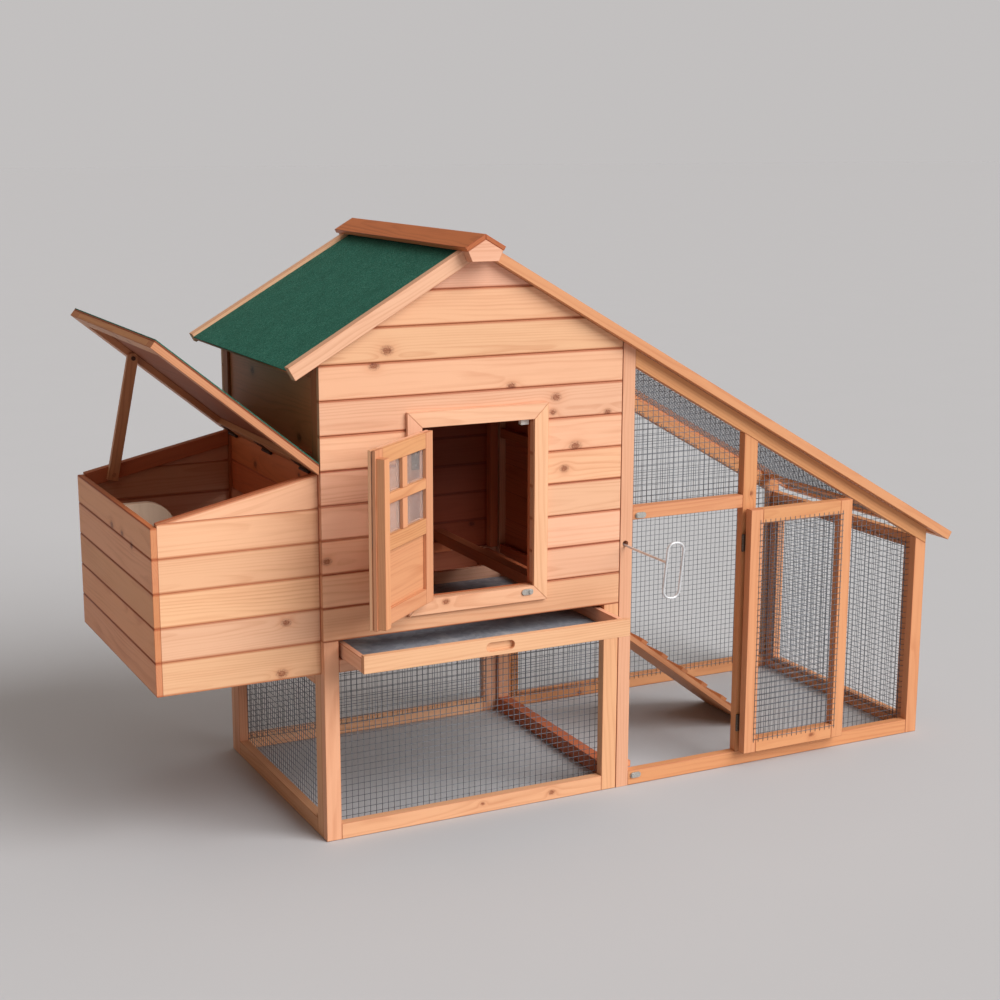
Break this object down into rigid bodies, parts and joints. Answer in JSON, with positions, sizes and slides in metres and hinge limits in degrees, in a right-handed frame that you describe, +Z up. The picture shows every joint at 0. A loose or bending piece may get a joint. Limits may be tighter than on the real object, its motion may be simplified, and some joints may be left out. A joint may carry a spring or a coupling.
{
  "type": "chicken coop",
  "caption": "Timber chicken coop: gabled hen house with an outside nest box, a pull-out tray, a front door and a sliding pop door, beside a wire run under the long side of the same gabled roof.",
  "frame": {"origin": "middle of the whole footprint, on the ground", "axes": "+X along the front from the nest box to the run, +Y from the front to the back, +Z up"},
  "size_m": [1.829, 0.813, 1.1675],
  "materials": {
    "fir_front": "planed fir, light orange stain, satin",
    "fir_run": "planed fir, orange stain, satin",
    "fir_inner": "planed fir, unlit inside faces",
    "ridge_brown": "red-brown stain",
    "felt_green": "green mineral roofing felt",
    "galvanised_wire": "bright galvanised",
    "galvanised_sheet": "galvanised sheet",
    "zinc_hardware": "zinc plated",
    "white_plastic": "white moulded plastic",
    "clear_pane": "clear acrylic"
  },
  "bodies": {
    "house": {"house_front_siding": "fir_front", "house_rear_siding": "fir_front", "front_door_trim": "fir_front", "house_wall_battens": "fir_inner", "left_wall_boards": "fir_inner", "right_wall_boards": "fir_inner", "middle_posts": "fir_front", "cross_rails": "fir_inner", "lower_front_frame": "fir_front", "lower_front_mesh": "galvanised_wire", "lower_left_frame": "fir_front", "lower_left_mesh": "galvanised_wire", "lower_rear_frame": "fir_front", "lower_rear_mesh": "galvanised_wire", "tray_runners": "fir_inner", "perch": "fir_inner", "pop_door_guides": "fir_inner", "roof_frame": "fir_front", "roof_decks": "fir_inner", "roof_felts": "felt_green", "ridge_cap": "ridge_brown", "ridge_end_blocks": "fir_front", "run_front_frame": "fir_run", "run_rear_frame": "fir_run", "run_end_frame": "fir_run", "run_front_mesh": "galvanised_wire", "run_rear_mesh": "galvanised_wire", "run_end_mesh": "galvanised_wire", "run_roof_mesh": "galvanised_wire", "nest_walls": "fir_front", "nest_floor": "fir_inner", "nest_divider": "fir_inner", "nest_battens": "fir_inner", "nest_lid_hinges_fixed": "zinc_hardware", "door_hinges_fixed": "zinc_hardware", "ramp_hinges_fixed": "zinc_hardware", "front_door_catch": "white_plastic", "hinge_and_button_screws": "zinc_hardware"},
    "nest_lid": {"nest_lid_frame": "fir_front", "nest_lid_panel": "fir_inner", "nest_lid_felt": "felt_green", "nest_lid_hinges_moving": "zinc_hardware"},
    "lid_prop": {"nest_lid_prop": "fir_inner"},
    "front_door": {"front_door_frame": "fir_front", "front_door_overlay": "fir_front", "front_door_glazing": "clear_pane", "front_door_panel": "fir_front", "front_door_hinges_moving": "zinc_hardware"},
    "tray": {"tray_frame": "fir_front", "tray_sheet": "galvanised_sheet"},
    "pop_door": {"pop_door": "fir_inner", "pull_handle": "galvanised_wire"},
    "ramp": {"ramp": "fir_inner", "ramp_hinges_moving": "zinc_hardware"},
    "run_door": {"run_door_frame": "fir_run", "run_door_mesh": "galvanised_wire", "run_door_hinges_moving": "zinc_hardware"},
    "front_door_button": {"front_door_button": "zinc_hardware"},
    "run_door_top_button": {"run_door_top_button": "zinc_hardware"},
    "run_door_bottom_button": {"run_door_bottom_button": "zinc_hardware"}
  },
  "joints": [
    {"name": "nest_lid_hinge", "type": "hinge", "parent": "house", "child": "nest_lid", "pos_m": [-0.5969, 0.07699, 0.7247], "axis": [0, 1, 0], "range_deg": [-51.7, 0]},
    {"name": "lid_prop_pivot", "type": "hinge", "parent": "nest_lid", "child": "lid_prop", "pos_m": [-0.79715, 0.32399, 0.89526], "axis": [0, 1, 0], "range_deg": [-26, 8]},
    {"name": "front_door_hinge", "type": "hinge", "parent": "house", "child": "front_door", "pos_m": [-0.38748, -0.22771, 0.6345], "axis": [0, 0, 1], "range_deg": [-35, 140]},
    {"name": "tray_slide", "type": "slide", "parent": "house", "child": "tray", "axis": [0, -1, 0], "range_m": [-0.111, 0.39]},
    {"name": "pop_door_slide", "type": "slide", "parent": "house", "child": "pop_door", "axis": [0, -1, 0], "range_m": [-0.153, 0.018]},
    {"name": "ramp_hinge", "type": "hinge", "parent": "house", "child": "ramp", "pos_m": [0.09152, 0.07949, 0.352], "axis": [0, -1, 0], "range_deg": [0, 60]},
    {"name": "run_door_hinge", "type": "hinge", "parent": "house", "child": "run_door", "pos_m": [0.35692, -0.21851, 0.3038], "axis": [0, 0, 1], "range_deg": [-180, 0]},
    {"name": "front_door_button_turn", "type": "hinge", "parent": "house", "child": "front_door_button", "pos_m": [-0.15548, -0.22511, 0.455], "axis": [0, 1, 0], "range_deg": [0, 90]},
    {"name": "run_door_top_button_turn", "type": "hinge", "parent": "house", "child": "run_door_top_button", "pos_m": [0.09652, -0.21711, 0.585], "axis": [0, 1, 0], "range_deg": [0, 90]},
    {"name": "run_door_bottom_button_turn", "type": "hinge", "parent": "house", "child": "run_door_bottom_button", "pos_m": [0.09652, -0.21711, 0.021], "axis": [0, -1, 0], "range_deg": [0, 90]}
  ]
}
